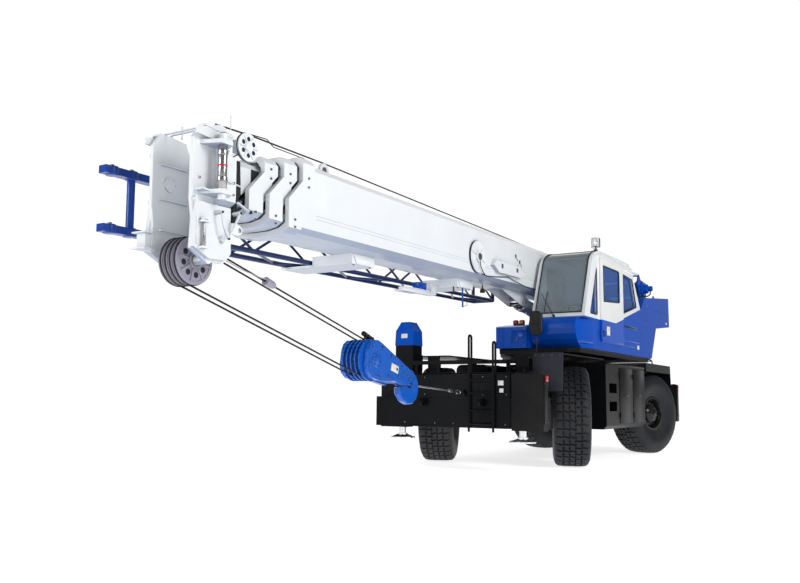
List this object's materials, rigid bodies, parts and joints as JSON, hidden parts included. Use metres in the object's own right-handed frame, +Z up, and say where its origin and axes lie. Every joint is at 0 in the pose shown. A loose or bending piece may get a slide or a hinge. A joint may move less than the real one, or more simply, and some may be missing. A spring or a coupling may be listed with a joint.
{
  "type": "mobile crane",
  "caption": "Rough-terrain crane on two steered axles, with a telescopic boom, stowed lattice jib, side cab, hook block and outriggers.",
  "frame": {"origin": "middle of the bounding box on the ground", "axes": "+X ahead, where the boom points; +Y to the left, where the cab is; +Z up"},
  "size_m": [14.4698, 3.4052, 3.9149],
  "materials": {
    "chassis_black": "satin",
    "body_blue": "gloss",
    "boom_white": "gloss",
    "jib_navy": "gloss",
    "guard_grey": "satin",
    "cast_parts": "rough",
    "bare_steel": "machined",
    "chromed_rod": "polished",
    "tyre_rubber": "matte",
    "tinted_glass": "clear",
    "dark_plastic": "matte"
  },
  "bodies": {
    "carrier": {"carrier_frame": "chassis_black", "front_outrigger_box": "chassis_black", "rear_outrigger_box": "chassis_black", "front_deck": "chassis_black", "mudguards": "guard_grey", "side_boxes": "chassis_black", "front_axle": "cast_parts", "rear_axle": "cast_parts", "engine": "cast_parts", "engine_hood": "chassis_black", "drive_line": "bare_steel", "slew_ring": "bare_steel", "ladder": "chassis_black", "intake_post": "chassis_black", "intake_cap": "body_blue", "carrier_lamps": "dark_plastic"},
    "superstructure": {"turntable": "body_blue", "boom_cheeks": "body_blue", "house": "body_blue", "counterweight": "body_blue", "winches": "body_blue", "cab_shell": "boom_white", "cab_glass": "tinted_glass", "cab_interior": "dark_plastic", "cab_fittings": "dark_plastic"},
    "door": {"cab_door": "body_blue", "door_glass": "tinted_glass"},
    "boom": {"base_boom": "boom_white", "boom_fittings": "body_blue", "jib": "jib_navy"},
    "second": {"second_section": "boom_white"},
    "third": {"third_section": "boom_white"},
    "top": {"top_section": "boom_white", "boom_head": "boom_white"},
    "falls": {"head_sheaves": "bare_steel"},
    "block": {"hook_block": "body_blue", "hook": "body_blue"},
    "lift_cylinder": {"lift_barrel": "body_blue"},
    "lift_piston": {"lift_rod": "chromed_rod"},
    "steer_front_left": {"knuckle_front_left": "cast_parts"},
    "wheel_front_left": {"rim_front_left": "chassis_black", "tyre_front_left": "tyre_rubber"},
    "outrigger_front_left": {"beam_front_left": "chassis_black"},
    "jackleg_front_left": {"jack_front_left": "chromed_rod"},
    "steer_front_right": {"knuckle_front_right": "cast_parts"},
    "wheel_front_right": {"rim_front_right": "chassis_black", "tyre_front_right": "tyre_rubber"},
    "outrigger_front_right": {"beam_front_right": "chassis_black"},
    "jackleg_front_right": {"jack_front_right": "chromed_rod"},
    "steer_rear_left": {"knuckle_rear_left": "cast_parts"},
    "wheel_rear_left": {"rim_rear_left": "chassis_black", "tyre_rear_left": "tyre_rubber"},
    "outrigger_rear_left": {"beam_rear_left": "chassis_black"},
    "jackleg_rear_left": {"jack_rear_left": "chromed_rod"},
    "steer_rear_right": {"knuckle_rear_right": "cast_parts"},
    "wheel_rear_right": {"rim_rear_right": "chassis_black", "tyre_rear_right": "tyre_rubber"},
    "outrigger_rear_right": {"beam_rear_right": "chassis_black"},
    "jackleg_rear_right": {"jack_rear_right": "chromed_rod"}
  },
  "joints": [
    {"name": "slew", "type": "hinge", "parent": "carrier", "child": "superstructure", "pos_m": [-2.685, 0, 1.6], "axis": [0, 0, 1], "continuous": true},
    {"name": "door_slide", "type": "slide", "parent": "superstructure", "child": "door", "axis": [-1, 0, 0], "range_m": [0, 1.02]},
    {"name": "boom_luff", "type": "hinge", "parent": "superstructure", "child": "boom", "pos_m": [-4.485, 0, 3.24], "axis": [0, -1, 0], "range_deg": [0, 81]},
    {"name": "telescope", "type": "slide", "parent": "boom", "child": "second", "axis": [0.9998, 0, -0.0175], "range_m": [0, 7.6]},
    {"name": "third_slide", "type": "slide", "parent": "second", "child": "third", "axis": [0.9998, 0, -0.0175], "range_m": [0, 7.6]},
    {"name": "top_slide", "type": "slide", "parent": "third", "child": "top", "axis": [0.9998, 0, -0.0175], "range_m": [0, 7.6]},
    {"name": "hook_swing", "type": "hinge", "parent": "top", "child": "falls", "pos_m": [6.88152, 0, 2.36849], "axis": [0, 1, 0], "range_deg": [-75.4, 0]},
    {"name": "hoist", "type": "slide", "parent": "falls", "child": "block", "axis": [0.9677, 0, 0.2521], "range_m": [0, 2.681]},
    {"name": "lift_tilt", "type": "hinge", "parent": "superstructure", "child": "lift_cylinder", "pos_m": [-3.335, 0, 2.56], "axis": [0, -1, 0], "range_deg": [-0.5, 86.83]},
    {"name": "lift_extend", "type": "slide", "parent": "lift_cylinder", "child": "lift_piston", "axis": [0.9933, 0, 0.1154], "range_m": [-0.002, 1.71483]},
    {"name": "steer_front_left", "type": "hinge", "parent": "carrier", "child": "steer_front_left", "pos_m": [-0.485, 0.905, 0.8085], "axis": [0, 0, 1], "range_deg": [-55, 11]},
    {"name": "roll_front_left", "type": "hinge", "parent": "steer_front_left", "child": "wheel_front_left", "pos_m": [-0.59176, 1.16925, 0.8085], "axis": [-0.3746, 0.9272, 0], "continuous": true},
    {"name": "reach_front_left", "type": "slide", "parent": "carrier", "child": "outrigger_front_left", "axis": [0, 1, 0], "range_m": [0, 1.8]},
    {"name": "jack_front_left", "type": "slide", "parent": "outrigger_front_left", "child": "jackleg_front_left", "axis": [0, 0, -1], "range_m": [0, 0.6]},
    {"name": "steer_front_right", "type": "hinge", "parent": "carrier", "child": "steer_front_right", "pos_m": [-0.485, -0.905, 0.8085], "axis": [0, 0, 1], "range_deg": [-56, 12]},
    {"name": "roll_front_right", "type": "hinge", "parent": "steer_front_right", "child": "wheel_front_right", "pos_m": [-0.37824, -1.16925, 0.8085], "axis": [-0.3746, 0.9272, 0], "continuous": true},
    {"name": "reach_front_right", "type": "slide", "parent": "carrier", "child": "outrigger_front_right", "axis": [0, -1, 0], "range_m": [0, 1.8]},
    {"name": "jack_front_right", "type": "slide", "parent": "outrigger_front_right", "child": "jackleg_front_right", "axis": [0, 0, -1], "range_m": [0, 0.6]},
    {"name": "steer_rear_left", "type": "hinge", "parent": "carrier", "child": "steer_rear_left", "pos_m": [-5.085, 0.905, 0.8085], "axis": [0, 0, 1], "range_deg": [-13, 53]},
    {"name": "roll_rear_left", "type": "hinge", "parent": "steer_rear_left", "child": "wheel_rear_left", "pos_m": [-4.98752, 1.17281, 0.8085], "axis": [0.342, 0.9397, 0], "continuous": true},
    {"name": "reach_rear_left", "type": "slide", "parent": "carrier", "child": "outrigger_rear_left", "axis": [0, 1, 0], "range_m": [0, 1.8]},
    {"name": "jack_rear_left", "type": "slide", "parent": "outrigger_rear_left", "child": "jackleg_rear_left", "axis": [0, 0, -1], "range_m": [0, 0.6]},
    {"name": "steer_rear_right", "type": "hinge", "parent": "carrier", "child": "steer_rear_right", "pos_m": [-5.085, -0.905, 0.8085], "axis": [0, 0, 1], "range_deg": [-14, 54]},
    {"name": "roll_rear_right", "type": "hinge", "parent": "steer_rear_right", "child": "wheel_rear_right", "pos_m": [-5.18248, -1.17281, 0.8085], "axis": [0.342, 0.9397, 0], "continuous": true},
    {"name": "reach_rear_right", "type": "slide", "parent": "carrier", "child": "outrigger_rear_right", "axis": [0, -1, 0], "range_m": [0, 1.8]},
    {"name": "jack_rear_right", "type": "slide", "parent": "outrigger_rear_right", "child": "jackleg_rear_right", "axis": [0, 0, -1], "range_m": [0, 0.6]}
  ],
  "couplings": [
    {"joint": "third_slide", "follows": "telescope", "ratio": 1},
    {"joint": "top_slide", "follows": "telescope", "ratio": 1},
    {"joint": "lift_tilt", "follows": "boom_luff", "ratio": 1.0658},
    {"joint": "lift_extend", "follows": "boom_luff", "m_per_rad": 1.2116},
    {"joint": "hoist", "follows": "hook_swing", "m_per_rad": -2.0365},
    {"joint": "steer_front_right", "follows": "steer_front_left", "ratio": 1},
    {"joint": "steer_rear_right", "follows": "steer_rear_left", "ratio": 1}
  ]
}
